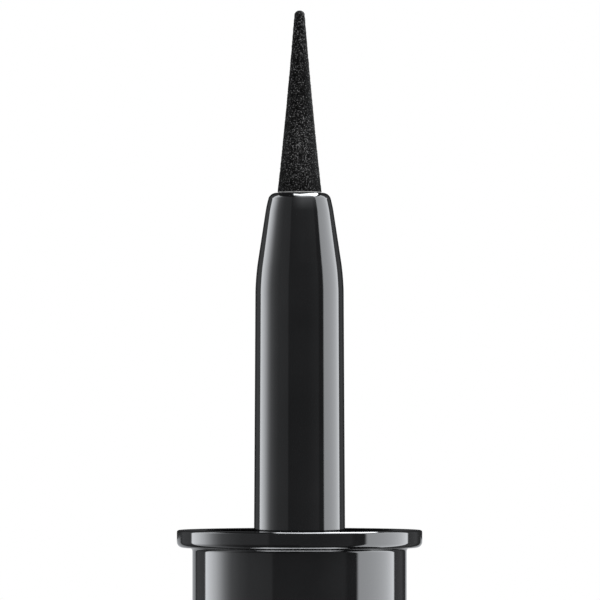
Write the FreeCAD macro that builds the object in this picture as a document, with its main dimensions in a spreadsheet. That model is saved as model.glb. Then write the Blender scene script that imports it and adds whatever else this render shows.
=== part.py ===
"""Felt-tip liquid eyeliner pen, standing tip up on the cap that is posted on its tail.

Millimetres. +Z runs along the pen's axis to the tip, and z = 0 is the cap's closed end.
"""
import FreeCAD, Part
import math
import os
import Sketcher
from FreeCAD import Vector

# Driving dimensions: name, value in millimetres (or a count), what it is
DIMENSIONS = [
    ("felt_length", 8.7, "felt showing in front of the nose"),
    ("felt_dia", 2.06, "felt at the nose and inside it"),
    ("felt_end_dia", 0.44, "felt point before rounding"),
    ("felt_end_round", 0.22, "rounding of the felt point"),
    ("felt_flare", 265.0, "radius of the slightly hollow flank of the felt"),
    ("felt_shank", 9.0, "felt held inside the neck"),
    ("neck_length", 16.05, "barrel rim to nose face"),
    ("neck_base_dia", 4.34, "neck where it leaves the barrel"),
    ("neck_top_dia", 4.2, "neck at the shoulder of the nose"),
    ("neck_root_round", 0.25, "fillet where the neck meets its plug"),
    ("nose_length", 4.04, "tapered nose of the neck"),
    ("nose_dia", 2.81, "nose face before rounding"),
    ("nose_round", 0.36, "rounding of the nose rim"),
    ("brow_dia", 3.24, "nose where its flank starts to lean in to the face"),
    ("brow_drop", 0.9, "that place below the nose face"),
    ("brow_bulge", 5.6, "radius of the full flank from there to the face"),
    ("shoulder_round", 10.0, "blend from nose to neck"),
    ("vent_count", 6, "air grooves along the felt"),
    ("vent_width", 0.4, "width of an air groove"),
    ("vent_depth", 0.4, "depth of an air groove"),
    ("vent_land", 1.6, "plain bore between the nose face and the grooves"),
    ("plug_length", 7.0, "front plug held in the barrel"),
    ("spigot_length", 6.0, "spigot inside the ink tank"),
    ("spigot_socket_dia", 5.0, "socket for the boss of the collector"),
    ("spigot_socket_depth", 4.0, "depth of that socket"),
    ("snap_height", 0.1, "snap bead on the front plug"),
    ("snap_width", 0.6, "axial width of the snap bead"),
    ("snap_inset", 3.0, "snap bead below the top of the plug"),
    ("barrel_dia", 10.2, "outside of the barrel"),
    ("barrel_wall", 0.6, "wall of the barrel"),
    ("barrel_tail_round", 0.1, "edge of the barrel at the tail"),
    ("flange_overhang", 0.74, "flange beyond the barrel, all round"),
    ("flange_thick", 0.79, "flange thickness"),
    ("flange_top_round", 0.1, "outer edge of the rim"),
    ("flange_under_round", 0.28, "lower edge of the flange"),
    ("flange_root_round", 0.18, "fillet under the flange"),
    ("well_depth", 0.8, "front plug below the rim of the barrel"),
    ("tank_length", 70.0, "ink tank, outside"),
    ("tank_wall", 0.8, "wall of the ink tank"),
    ("tank_floor", 1.0, "floor of the ink tank"),
    ("tank_gap", 0.15, "clearance of the tank in the barrel"),
    ("seal_section", 0.9, "section of the tank seal ring"),
    ("seal_inset", 1.2, "seal ring below the plug"),
    ("relay_dia", 1.8, "wick between tank and felt"),
    ("relay_reach", 2.0, "wick standing out of the collector into the ink"),
    ("relay_chamfer", 0.2, "chamfer at the tank end of the wick"),
    ("collector_core_dia", 3.6, "core of the ink collector"),
    ("collector_head", 4.0, "plain head between collector and ink"),
    ("collector_gap", 0.06, "clearance of the collector in the tank"),
    ("fin_count", 14, "fins of the collector"),
    ("fin_pitch", 1.1, "spacing of the fins"),
    ("fin_thick", 0.4, "thickness of a fin"),
    ("air_slot", 0.9, "width of the air slot through the fins"),
    ("ink_slit", 0.25, "width of the capillary slit"),
    ("ball_dia", 4.0, "mixing ball"),
    ("tail_head", 1.2, "head of the tail plug"),
    ("tail_head_inset", 0.05, "head of the tail plug inside the barrel outline"),
    ("tail_head_round", 0.25, "edge of the tail plug"),
    ("tail_skirt", 14.0, "skirt of the tail plug in the barrel"),
    ("tail_skirt_wall", 1.0, "wall of that skirt"),
    ("tail_skirt_gap", 0.12, "clearance of the skirt between its beads"),
    ("tail_bead_width", 0.8, "width of a bead on the skirt"),
    ("tail_bead_pitch", 8.0, "spacing of the two beads"),
    ("tail_bead_inset", 2.0, "first bead above the head"),
    ("cap_end", 1.5, "end disc of the cap"),
    ("cap_end_round", 0.5, "edge of the end disc"),
    ("cap_mouth_round", 0.12, "edges of the cap mouth"),
    ("cap_ledge", 0.42, "ledge in the cap that stops the posted barrel"),
    ("post_gap", 0.03, "sliding clearance of the posted cap"),
    ("collar_length", 3.83, "collar in the cap that slides on the neck"),
    ("collar_recess", 0.3, "collar below the ledge"),
    ("collar_gap", 0.03, "clearance of the collar on the neck"),
    ("collar_chamfer", 0.5, "lead-in of the collar"),
    ("inner_cap_press", 1.1, "inner cap pushed back by the nose when capped"),
    ("inner_cap_stroke", 2.5, "inner cap travel to its stop"),
    ("inner_cap_wall", 1.0, "wall of the inner cap"),
    ("inner_cap_floor", 1.0, "closed end of the inner cap"),
    ("inner_cap_flange", 1.0, "thickness of the guide flange"),
    ("inner_cap_lip", 0.3, "lead-in of the sealing lip"),
    ("inner_cap_gap", 0.2, "sliding clearance of the inner cap"),
    ("tip_clearance", 0.8, "room between felt point and inner cap"),
    ("spring_wire", 0.5, "wire of the inner cap spring"),
    ("spring_turns", 6, "turns of the spring"),
    ("spring_gap", 0.3, "spring clear of the inner cap"),
    ("spring_seat_drop", 1.0, "spring seat behind the inner cap"),
    ("stop_post", 4.5, "stop post of the cap end"),
    ("stop_post_dia", 3.0, "diameter of the stop post"),
    ("seam_round", 0.06, "edges where two moulded pieces meet outside"),
    ("fit_gap", 0.02, "clearance of a pressed fit"),
]


class Size:
    """A length that knows its spreadsheet expression and its present value."""

    def __init__(self, text, value):
        self.text = text
        self.value = value

    def joined(self, sign, other, value):
        return Size(f"({self.text} {sign} {as_size(other).text})", value)

    def __add__(self, other):
        return self.joined("+", other, self.value + as_size(other).value)

    def __sub__(self, other):
        return self.joined("-", other, self.value - as_size(other).value)

    def __mul__(self, other):
        return self.joined("*", other, self.value * as_size(other).value)

    def __truediv__(self, other):
        return self.joined("/", other, self.value / as_size(other).value)


def as_size(thing):
    if isinstance(thing, Size):
        return thing
    return Size(str(thing), float(thing))


class Sizes:
    """The driving dimensions by name."""


def make_sheet(doc):
    sheet = doc.addObject("Spreadsheet::Sheet", "dims")
    sizes = Sizes()
    for row, (alias, value, note) in enumerate(DIMENSIONS, start=1):
        sheet.set(f"A{row}", alias)
        sheet.set(f"B{row}", str(value))
        sheet.setAlias(f"B{row}", alias)
        sheet.set(f"C{row}", note)
        setattr(sizes, alias, Size(f"dims.{alias}", float(value)))
    doc.recompute()
    return sizes


doc = FreeCAD.newDocument("eyeliner_pen")
d = make_sheet(doc)
ZERO = Size("0", 0.0)
ON_SIZE = 1e-5  # a found edge matches its named size to this

# Radii that several pieces share
barrel_r = d.barrel_dia / 2
barrel_bore_r = barrel_r - d.barrel_wall
flange_r = barrel_r + d.flange_overhang
felt_r = d.felt_dia / 2
felt_bore_r = felt_r + d.fit_gap
relay_r = d.relay_dia / 2
relay_bore_r = relay_r + d.fit_gap
tank_r = barrel_bore_r - d.tank_gap
tank_bore_r = tank_r - d.tank_wall
spigot_r = tank_bore_r - d.fit_gap
seal_r = (d.brow_dia + d.neck_top_dia) / 4
inner_cap_r = seal_r + d.inner_cap_wall
cap_bore_r = barrel_r - d.cap_ledge
post_bore_r = barrel_r + d.post_gap
spring_r = inner_cap_r + d.spring_gap + d.spring_wire / 2

# Depths inside the cap, from its mouth; the capped nose presses on the lip half way along its straight flank
seal_drop = (d.brow_drop + d.nose_length) / 2
lip_depth = d.neck_length - seal_drop - d.inner_cap_press
collar_depth = lip_depth - d.collar_length
post_depth = collar_depth - d.collar_recess
inner_cap_room = seal_drop + d.felt_length + d.tip_clearance
inner_cap_length = inner_cap_room + d.inner_cap_floor
cap_length = lip_depth + inner_cap_length + d.inner_cap_stroke + d.stop_post + d.cap_end

# Heights above the cap's closed end
tail_z = cap_length - post_depth
barrel_tail_z = tail_z + d.tail_head
tank_z = barrel_tail_z + d.tail_skirt + d.fit_gap
plug_z = tank_z + d.tank_length
well_z = plug_z + d.plug_length
rim_z = well_z + d.well_depth
nose_z = rim_z + d.neck_length
shoulder_z = nose_z - d.nose_length
felt_end_z = nose_z + d.felt_length
shank_z = nose_z - d.felt_shank
spigot_z = plug_z - d.spigot_length
collector_z = spigot_z - d.fin_pitch * d.fin_count - d.collector_head
lip_z = cap_length - lip_depth
inner_cap_z = lip_z - inner_cap_length
spring_z = inner_cap_z - d.spring_seat_drop
snap_z = well_z - d.snap_inset
seal_z = plug_z - d.seal_inset


def bind(feature, prop, size):
    feature.setExpression(prop, as_size(size).text)


def origin_of(body, role):
    return next(f for f in body.Origin.OriginFeatures if f.Role == role)


def new_body(label):
    body = doc.addObject("PartDesign::Body", label)
    body.Label = label
    return body


def new_sketch(body, name, plane):
    sketch = body.newObject("Sketcher::SketchObject", name)
    sketch.AttachmentSupport = [(origin_of(body, plane), "")]
    sketch.MapMode = "FlatFace"
    return sketch


def place_by_sizes(sketch, geometry, end, across, up):
    """Ties one end of a sketch edge to its distances from the sketch's origin."""
    on_axis = {"DistanceX": -2, "DistanceY": -1}
    for kind, size in (("DistanceX", across), ("DistanceY", up)):
        if size is ZERO:
            sketch.addConstraint(Sketcher.Constraint("PointOnObject", geometry, end, on_axis[kind]))
        else:
            rule = Sketcher.Constraint(kind, -1, 1, geometry, end, size.value)
            bind(sketch, f"Constraints[{sketch.addConstraint(rule)}]", size)


def flank_arc(start, finish, radius):
    """Arc between two sketch points, full outwards for a positive radius and hollow for a negative one."""
    chord = finish - start
    inward = Vector(-abs(chord.y), chord.x * math.copysign(1, chord.y), 0).normalize()
    rise = math.sqrt(radius ** 2 - (chord.Length / 2) ** 2)
    centre = (start + finish) / 2 + inward * math.copysign(rise, radius)
    angles = [math.atan2(p.y - centre.y, p.x - centre.x) for p in (start, finish)]
    forwards = (angles[1] - angles[0]) % (2 * math.pi) < math.pi
    ordered = angles if forwards else angles[::-1]
    arc = Part.ArcOfCircle(Part.Circle(centre, Vector(0, 0, 1), abs(radius)), *ordered)
    return arc, (1, 2) if forwards else (2, 1)


def outline(body, name, corners):
    """Half section on the XZ plane. A corner is (radius, height), with the radius of any arc to the next."""
    sketch = new_sketch(body, name, "XZ_Plane")
    spots = [Vector(corner[0].value, corner[1].value, 0) for corner in corners]
    ends = []
    for i, corner in enumerate(corners):
        finish = spots[(i + 1) % len(corners)]
        if len(corner) == 2:
            sketch.addGeometry(Part.LineSegment(spots[i], finish), False)
            ends.append((1, 2))
        else:
            arc, order = flank_arc(spots[i], finish, corner[2].value)
            sketch.addGeometry(arc, False)
            ends.append(order)
    for i, corner in enumerate(corners):
        following = (i + 1) % len(corners)
        joined = Sketcher.Constraint("Coincident", i, ends[i][1], following, ends[following][0])
        sketch.addConstraint(joined)
        place_by_sizes(sketch, i, ends[i][0], corner[0], corner[1])
        if len(corner) == 3:
            rule = Sketcher.Constraint("Radius", i, abs(corner[2].value))
            size = corner[2] if corner[2].value > 0 else ZERO - corner[2]
            bind(sketch, f"Constraints[{sketch.addConstraint(rule)}]", size)
    return sketch


def revolve(body, name, corners):
    """Turns a half section about the pen's axis."""
    sketch = outline(body, f"{name}_section", corners)
    turned = body.newObject("PartDesign::Revolution", name)
    turned.Profile = sketch
    turned.ReferenceAxis = (sketch, ["V_Axis"])
    turned.Angle = 360
    doc.recompute()
    return turned


def turned_edges(body, spots):
    """Names of the circular edges of a body that pass through the given (radius, height) spots."""
    found = []
    for radius, height in spots:
        for number, edge in enumerate(body.Tip.Shape.Edges, start=1):
            if not isinstance(edge.Curve, Part.Circle):
                continue
            same_r = abs(edge.Curve.Radius - radius.value) < ON_SIZE
            if same_r and abs(edge.Curve.Center.z - height.value) < ON_SIZE:
                found.append(f"Edge{number}")
    if len(found) != len(spots):
        raise ValueError(f"{body.Label}: {len(found)} edges found for {len(spots)} spots")
    return found


def round_edges(body, name, radius, spots):
    edges = turned_edges(body, spots)
    base = body.Tip
    fillet = body.newObject("PartDesign::Fillet", name)
    fillet.Base = (base, edges)
    bind(fillet, "Radius", radius)
    doc.recompute()


def bevel_edges(body, name, size, spots):
    edges = turned_edges(body, spots)
    base = body.Tip
    chamfer = body.newObject("PartDesign::Chamfer", name)
    chamfer.Base = (base, edges)
    bind(chamfer, "Size", size)
    doc.recompute()


def axial_slot(body, name, sides, half_width, top_z, depth):
    """Cuts a straight slot downwards from a height; its two sides lie at distances along X."""
    sketch = new_sketch(body, f"{name}_section", "XY_Plane")
    bind(sketch, "AttachmentOffset.Base.z", top_z)
    near, far = sides
    across = [(near, -1), (far, -1), (far, 1), (near, 1)]
    spots = [Vector(side.value, sign * half_width.value, 0) for side, sign in across]
    for i in range(len(spots)):
        sketch.addGeometry(Part.LineSegment(spots[i], spots[(i + 1) % len(spots)]), False)
    for i, (side, sign) in enumerate(across):
        sketch.addConstraint(Sketcher.Constraint("Coincident", i, 2, (i + 1) % len(across), 1))
        place_by_sizes(sketch, i, 1, side, half_width * sign)
    before = body.Tip.Shape.Volume
    pocket = body.newObject("PartDesign::Pocket", name)
    pocket.Profile = sketch
    pocket.Type = "Length"
    bind(pocket, "Length", depth)
    doc.recompute()
    if not body.Tip.Shape.Volume < before:
        raise ValueError(f"{name} cuts nothing")
    return pocket


def make_felt_tip():
    body = new_body("felt_tip")
    end_r = d.felt_end_dia / 2
    revolve(body, "felt", [
        (ZERO, shank_z),
        (felt_r, shank_z),
        (felt_r, nose_z, ZERO - d.felt_flare),
        (end_r, felt_end_z),
        (ZERO, felt_end_z),
    ])
    round_edges(body, "felt_point", d.felt_end_round, [(end_r, felt_end_z)])
    return body


def make_front_section():
    """Neck with tapered nose, its plug in the barrel and its spigot in the ink tank."""
    body = new_body("front_section")
    nose_r = d.nose_dia / 2
    neck_top_r = d.neck_top_dia / 2
    neck_base_r = d.neck_base_dia / 2
    plug_r = barrel_bore_r - d.fit_gap
    socket_r = d.spigot_socket_dia / 2
    socket_z = spigot_z + d.spigot_socket_depth
    seat_r = tank_bore_r - d.seal_section - d.fit_gap * 2
    seat_half = d.seal_section / 2 + d.fit_gap * 2
    revolve(body, "section", [
        (felt_bore_r, nose_z),
        (nose_r, nose_z, d.brow_bulge),
        (d.brow_dia / 2, nose_z - d.brow_drop),
        (neck_top_r, shoulder_z),
        (neck_base_r, well_z),
        (plug_r, well_z),
        (plug_r, snap_z + d.snap_width / 2),
        (plug_r + d.snap_height, snap_z),
        (plug_r, snap_z - d.snap_width / 2),
        (plug_r, plug_z),
        (spigot_r, plug_z),
        (spigot_r, seal_z + seat_half),
        (seat_r, seal_z + seat_half),
        (seat_r, seal_z - seat_half),
        (spigot_r, seal_z - seat_half),
        (spigot_r, spigot_z),
        (socket_r, spigot_z),
        (socket_r, socket_z),
        (relay_bore_r, socket_z),
        (relay_bore_r, shank_z),
        (felt_bore_r, shank_z),
    ])
    round_edges(body, "shoulder", d.shoulder_round, [(neck_top_r, shoulder_z)])
    round_edges(body, "nose_rim", d.nose_round, [(nose_r, nose_z)])
    round_edges(body, "neck_root", d.neck_root_round, [(neck_base_r, well_z)])
    vent_top = nose_z - d.vent_land
    vent = axial_slot(
        body, "vent", (relay_r, felt_bore_r + d.vent_depth), d.vent_width / 2, vent_top, vent_top - socket_z)
    ring = body.newObject("PartDesign::PolarPattern", "vents")
    ring.Originals = [vent]
    ring.Axis = (origin_of(body, "Z_Axis"), [""])
    ring.Angle = 360
    bind(ring, "Occurrences", d.vent_count)
    body.Tip = ring
    doc.recompute()
    return body


def make_relay_core():
    """Wick that carries the ink from the tank to the back of the felt."""
    body = new_body("relay_core")
    low = collector_z - d.relay_reach
    revolve(body, "wick", [(ZERO, low), (relay_r, low), (relay_r, shank_z), (ZERO, shank_z)])
    bevel_edges(body, "wick_end", d.relay_chamfer, [(relay_r, low)])
    return body


def make_collector():
    """Finned regulator: its fins take up ink that warming air pushes out of the tank."""
    body = new_body("collector")
    boss_r = d.spigot_socket_dia / 2 - d.fit_gap
    boss_z = spigot_z + d.spigot_socket_depth - d.fit_gap
    core_r = d.collector_core_dia / 2
    fin_r = tank_bore_r - d.collector_gap
    head_z = collector_z + d.collector_head
    revolve(body, "core", [
        (relay_bore_r, boss_z),
        (boss_r, boss_z),
        (boss_r, spigot_z),
        (core_r, spigot_z),
        (core_r, head_z),
        (fin_r, head_z),
        (fin_r, collector_z),
        (relay_bore_r, collector_z),
    ])
    fin = revolve(body, "fin", [
        (relay_bore_r, spigot_z),
        (fin_r, spigot_z),
        (fin_r, spigot_z - d.fin_thick),
        (relay_bore_r, spigot_z - d.fin_thick),
    ])
    fins = body.newObject("PartDesign::LinearPattern", "fins")
    fins.Originals = [fin]
    fins.Direction = (origin_of(body, "Z_Axis"), [""])
    fins.Reversed = True
    bind(fins, "Length", d.fin_pitch * (d.fin_count - 1))
    bind(fins, "Occurrences", d.fin_count)
    body.Tip = fins
    doc.recompute()
    past_fins = fin_r + d.fin_thick
    run = spigot_z - collector_z
    axial_slot(body, "air_slot", (core_r, past_fins), d.air_slot / 2, spigot_z, run)
    slit_sides = (ZERO - past_fins, ZERO - relay_r)
    axial_slot(body, "ink_slit", slit_sides, d.ink_slit / 2, spigot_z, run)
    return body


def make_tank_seal():
    ring = doc.addObject("Part::Torus", "tank_seal")
    bind(ring, "Radius1", tank_bore_r - d.fit_gap - d.seal_section / 2)
    bind(ring, "Radius2", d.seal_section / 2)
    bind(ring, "Placement.Base.z", seal_z)
    return ring


def make_ink_tank():
    body = new_body("ink_tank")
    floor_z = tank_z + d.tank_floor
    revolve(body, "tank", [
        (ZERO, tank_z),
        (tank_r, tank_z),
        (tank_r, plug_z),
        (tank_bore_r, plug_z),
        (tank_bore_r, floor_z),
        (ZERO, floor_z),
    ])
    round_edges(body, "tank_foot", d.tank_floor / 2, [(tank_r, tank_z)])
    return body


def make_mixing_ball():
    ball = doc.addObject("Part::Sphere", "mixing_ball")
    bind(ball, "Radius", d.ball_dia / 2)
    bind(ball, "Placement.Base.z", tank_z + d.tank_floor + d.ball_dia / 2 + d.fit_gap)
    return ball


def make_barrel():
    """Thin tube whose flanged rim stands proud of the plug that closes it."""
    body = new_body("barrel")
    under_z = rim_z - d.flange_thick
    snap_half = d.snap_width / 2 + d.fit_gap
    revolve(body, "tube", [
        (barrel_bore_r, barrel_tail_z),
        (barrel_r, barrel_tail_z),
        (barrel_r, under_z),
        (flange_r, under_z),
        (flange_r, rim_z),
        (barrel_bore_r, rim_z),
        (barrel_bore_r, snap_z + snap_half),
        (barrel_bore_r + d.snap_height, snap_z),
        (barrel_bore_r, snap_z - snap_half),
    ])
    round_edges(body, "flange_root", d.flange_root_round, [(barrel_r, under_z)])
    round_edges(body, "flange_under", d.flange_under_round, [(flange_r, under_z)])
    round_edges(body, "rim_edge", d.flange_top_round, [(flange_r, rim_z)])
    round_edges(body, "tail_edge", d.barrel_tail_round, [(barrel_r, barrel_tail_z)])
    return body


def make_tail_plug():
    """Closes the barrel and keeps the ink tank up against the front plug."""
    body = new_body("tail_plug")
    head_r = barrel_r - d.tail_head_inset
    skirt_r = barrel_bore_r - d.tail_skirt_gap
    bead_r = barrel_bore_r - d.fit_gap
    inside_r = skirt_r - d.tail_skirt_wall
    skirt_z = barrel_tail_z + d.tail_skirt
    revolve(body, "plug", [
        (ZERO, tail_z),
        (head_r, tail_z),
        (head_r, barrel_tail_z),
        (skirt_r, barrel_tail_z),
        (skirt_r, skirt_z),
        (inside_r, skirt_z),
        (inside_r, barrel_tail_z),
        (ZERO, barrel_tail_z),
    ])
    bead_z = barrel_tail_z + d.tail_bead_inset
    bead = revolve(body, "bead", [
        (inside_r, bead_z - d.tail_bead_width / 2),
        (skirt_r, bead_z - d.tail_bead_width / 2),
        (bead_r, bead_z),
        (skirt_r, bead_z + d.tail_bead_width / 2),
        (inside_r, bead_z + d.tail_bead_width / 2),
    ])
    beads = body.newObject("PartDesign::LinearPattern", "beads")
    beads.Originals = [bead]
    beads.Direction = (origin_of(body, "Z_Axis"), [""])
    bind(beads, "Length", d.tail_bead_pitch)
    beads.Occurrences = 2
    body.Tip = beads
    doc.recompute()
    round_edges(body, "head_edge", d.tail_head_round, [(head_r, tail_z)])
    round_edges(body, "head_seam", d.seam_round, [(head_r, barrel_tail_z)])
    return body


def make_cap_sleeve():
    """Outer tube of the cap: a sliding bore for the barrel, then a ledge and the narrower inner bore."""
    body = new_body("cap_sleeve")
    revolve(body, "sleeve", [
        (cap_bore_r, d.cap_end),
        (flange_r, d.cap_end),
        (flange_r, cap_length),
        (post_bore_r, cap_length),
        (post_bore_r, tail_z),
        (cap_bore_r, tail_z),
    ])
    mouth = [(flange_r, cap_length), (post_bore_r, cap_length)]
    round_edges(body, "mouth_edges", d.cap_mouth_round, mouth)
    round_edges(body, "sleeve_seam", d.seam_round, [(flange_r, d.cap_end)])
    return body


def make_cap_end_plug():
    """Closed end of the cap, with the seat of the spring and the stop of the inner cap."""
    body = new_body("cap_end_plug")
    plug_r = cap_bore_r - d.fit_gap
    tube_r = inner_cap_r + d.inner_cap_gap
    post_r = d.stop_post_dia / 2
    stop_z = d.cap_end + d.stop_post
    revolve(body, "end", [
        (ZERO, ZERO),
        (flange_r, ZERO),
        (flange_r, d.cap_end),
        (plug_r, d.cap_end),
        (plug_r, spring_z),
        (tube_r, spring_z),
        (tube_r, d.cap_end),
        (post_r, d.cap_end),
        (post_r, stop_z),
        (ZERO, stop_z),
    ])
    round_edges(body, "end_edge", d.cap_end_round, [(flange_r, ZERO)])
    round_edges(body, "end_seam", d.seam_round, [(flange_r, d.cap_end)])
    return body


def make_cap_collar():
    """Slides on the neck of the capped pen and keeps the inner cap in the cap."""
    body = new_body("cap_collar")
    outer_r = cap_bore_r - d.fit_gap
    bore_r = d.neck_base_dia / 2 + d.collar_gap
    top_z = cap_length - collar_depth
    revolve(body, "collar", [(bore_r, lip_z), (outer_r, lip_z), (outer_r, top_z), (bore_r, top_z)])
    bevel_edges(body, "collar_lead", d.collar_chamfer, [(bore_r, top_z)])
    return body


def make_inner_cap():
    """Sprung cup whose lip seals on the nose and keeps the felt wet."""
    body = new_body("inner_cap")
    guide_r = cap_bore_r - d.inner_cap_gap
    guide_z = lip_z - d.inner_cap_flange
    floor_z = inner_cap_z + d.inner_cap_floor
    revolve(body, "cup", [
        (ZERO, inner_cap_z),
        (inner_cap_r, inner_cap_z),
        (inner_cap_r, guide_z),
        (guide_r, guide_z),
        (guide_r, lip_z),
        (seal_r, lip_z),
        (seal_r, floor_z),
        (ZERO, floor_z),
    ])
    bevel_edges(body, "lip", d.inner_cap_lip, [(seal_r, lip_z)])
    round_edges(body, "cup_foot", d.inner_cap_floor / 2, [(inner_cap_r, inner_cap_z)])
    return body


def helix_point(turn, low_z, pitch):
    angle = 2 * math.pi * turn
    return Vector(spring_r.value * math.cos(angle), spring_r.value * math.sin(angle), low_z + pitch * turn)


def helix_heading(turn, pitch):
    angle = 2 * math.pi * turn
    along = 2 * math.pi * spring_r.value
    return Vector(-along * math.sin(angle), along * math.cos(angle), pitch).normalize()


def biarc(start, leaving, finish, arriving):
    """Two tangent arcs from one point and heading to another."""
    chord = finish - start
    turn = 2 * (1 - leaving.dot(arriving))
    ahead = chord.dot(leaving + arriving)
    reach = (math.sqrt(ahead ** 2 + turn * chord.dot(chord)) - ahead) / turn
    meet = (start + finish + (leaving - arriving) * reach) / 2
    first = Part.Arc(start, arc_middle(start, leaving, meet), meet)
    second = Part.Arc(meet, arc_middle(finish, arriving * -1, meet), finish)
    return [first.toShape(), second.toShape()]


def arc_middle(start, heading, finish):
    """Middle point of the arc that leaves start along heading and ends at finish."""
    chord = finish - start
    along = chord.normalize()
    half_turn = math.acos(max(-1.0, min(1.0, heading.dot(along))))
    aside = (heading - along * heading.dot(along)).normalize()
    span = (finish - start).Length
    return (start + finish) / 2 + aside * (span / 2 * math.tan(half_turn / 2))


def make_inner_cap_spring():
    """Open-ended compression spring round the inner cap."""
    wire = d.spring_wire.value
    turns = d.spring_turns.value
    low_z = spring_z.value + wire / 2 + d.fit_gap.value
    high_z = (lip_z - d.inner_cap_flange).value - wire / 2 - d.fit_gap.value
    pitch = (high_z - low_z) / turns
    quarters = round(4 * turns)
    path = []
    for i in range(quarters):
        here, there = i / 4, (i + 1) / 4
        path += biarc(
            helix_point(here, low_z, pitch), helix_heading(here, pitch),
            helix_point(there, low_z, pitch), helix_heading(there, pitch))
    start = helix_point(0, low_z, pitch)
    section = Part.Wire(Part.makeCircle(wire / 2, start, helix_heading(0, pitch)))
    spring = doc.addObject("Part::Feature", "inner_cap_spring")
    spring.Shape = Part.Wire(path).makePipeShell([section], True, False)
    steps = 64
    line = [helix_point(i / steps, low_z, pitch) for i in range(int(steps * turns) + 1)]
    half = steps // 2
    gap = min((p - q).Length for i, p in enumerate(line) for q in line[i + half:]) - wire
    print(f"inner_cap_spring: pitch {pitch:.3f} mm, least gap to itself {gap:.3f} mm")
    return spring


pieces = [
    make_felt_tip(),
    make_front_section(),
    make_relay_core(),
    make_collector(),
    make_tank_seal(),
    make_ink_tank(),
    make_mixing_ball(),
    make_barrel(),
    make_tail_plug(),
    make_cap_sleeve(),
    make_cap_end_plug(),
    make_cap_collar(),
    make_inner_cap(),
    make_inner_cap_spring(),
]
doc.recompute()

for thing in doc.Objects:
    if {"Invalid", "Error"} & set(thing.State):
        raise ValueError(f"{thing.Label} failed: {thing.State}")
for piece in pieces:
    if piece.Shape.isNull() or not piece.Shape.isValid() or len(piece.Shape.Solids) != 1:
        raise ValueError(f"{piece.Label} is not one valid solid")

os.makedirs("parts", exist_ok=True)
for piece in pieces:
    piece.Shape.exportStep(f"parts/{piece.Label}.step")
    low, high = piece.Shape.BoundBox.ZMin, piece.Shape.BoundBox.ZMax
    print(f"{piece.Label}: {piece.Shape.Volume:.2f} mm3, z {low:.2f} to {high:.2f}")
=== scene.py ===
import math
import random

import bmesh
import bpy
from mathutils import Matrix, Vector, noise


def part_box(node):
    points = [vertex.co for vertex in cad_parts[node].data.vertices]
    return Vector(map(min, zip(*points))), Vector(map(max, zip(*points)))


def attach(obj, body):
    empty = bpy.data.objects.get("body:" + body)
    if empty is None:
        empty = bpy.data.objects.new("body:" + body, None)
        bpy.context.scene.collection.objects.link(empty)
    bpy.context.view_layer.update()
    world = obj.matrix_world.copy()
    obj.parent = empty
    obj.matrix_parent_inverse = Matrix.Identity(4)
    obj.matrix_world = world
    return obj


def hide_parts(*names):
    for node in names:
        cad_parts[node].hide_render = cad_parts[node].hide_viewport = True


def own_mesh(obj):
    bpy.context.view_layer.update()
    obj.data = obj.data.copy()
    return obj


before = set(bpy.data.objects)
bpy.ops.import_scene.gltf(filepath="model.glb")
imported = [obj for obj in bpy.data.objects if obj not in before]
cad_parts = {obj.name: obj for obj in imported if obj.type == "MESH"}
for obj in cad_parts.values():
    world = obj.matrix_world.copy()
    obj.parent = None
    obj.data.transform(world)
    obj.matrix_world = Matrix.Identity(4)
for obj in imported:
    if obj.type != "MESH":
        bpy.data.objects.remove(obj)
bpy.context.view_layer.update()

mm = 0.001
scene = bpy.context.scene
scene.view_settings.view_transform = "Standard"
print("frame loaded:", len(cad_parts), "nodes")


def reach(node):  # outside radius, lowest and highest point of a node, in millimetres
    low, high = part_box(node)
    return high.x / mm, low.z / mm, high.z / mm


# Sizes that several pieces share, from the frame
flangeRadius, barrelTail, barrelRim = reach("barrel")
feltRadius, feltFoot, feltPoint = reach("felt_tip")
tailFoot, tailTop = reach("tail_plug")[1:]
noseFace = reach("front_section")[2]
tankTop = reach("ink_tank")[2]
capMouth = reach("cap_sleeve")[2]


def toLinear(hexColour):
    channels = [int(hexColour[i:i + 2], 16) / 255 for i in (1, 3, 5)]
    return [c / 12.92 if c <= 0.04045 else ((c + 0.055) / 1.055) ** 2.4 for c in channels] + [1.0]


def addNode(tree, kind, inputs=None, stops=None, **settings):
    node = tree.nodes.new(kind)
    for name, value in settings.items():
        setattr(node, name, value)
    for name, value in (inputs or {}).items():
        if isinstance(value, bpy.types.NodeSocket):
            tree.links.new(value, node.inputs[name])
        else:
            node.inputs[name].default_value = value
    if stops:  # a new ramp has two, which become the first and the last
        ramp = node.color_ramp.elements
        ramp[0].position, ramp[0].color = stops[0]
        ramp[-1].position, ramp[-1].color = stops[-1]
        for place, colour in stops[1:-1]:
            ramp.new(place).color = colour
    return node


def newMaterial(name):
    material = bpy.data.materials.new(name)
    material.use_nodes = True
    tree = material.node_tree
    tree.nodes.clear()
    return material, tree, addNode(tree, "ShaderNodeTexCoord").outputs["Object"]


def patternScale(size):  # a texture whose features are this many millimetres apart
    return 1 / (size * mm)


# Glossy ABS, injection moulded in a polished steel tool: mirror-like, near black, with a trace of
# ripple in the skin and a roughness that wanders a little where the melt cooled unevenly.
glossAbs = dict(deep="#0c0c0d", pale="#141415", flow=3.0, ripple=0.9, rippleHeight=0.0003, haze=0.35,
                rough=(0.03, 0.06), ior=1.52)


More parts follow.
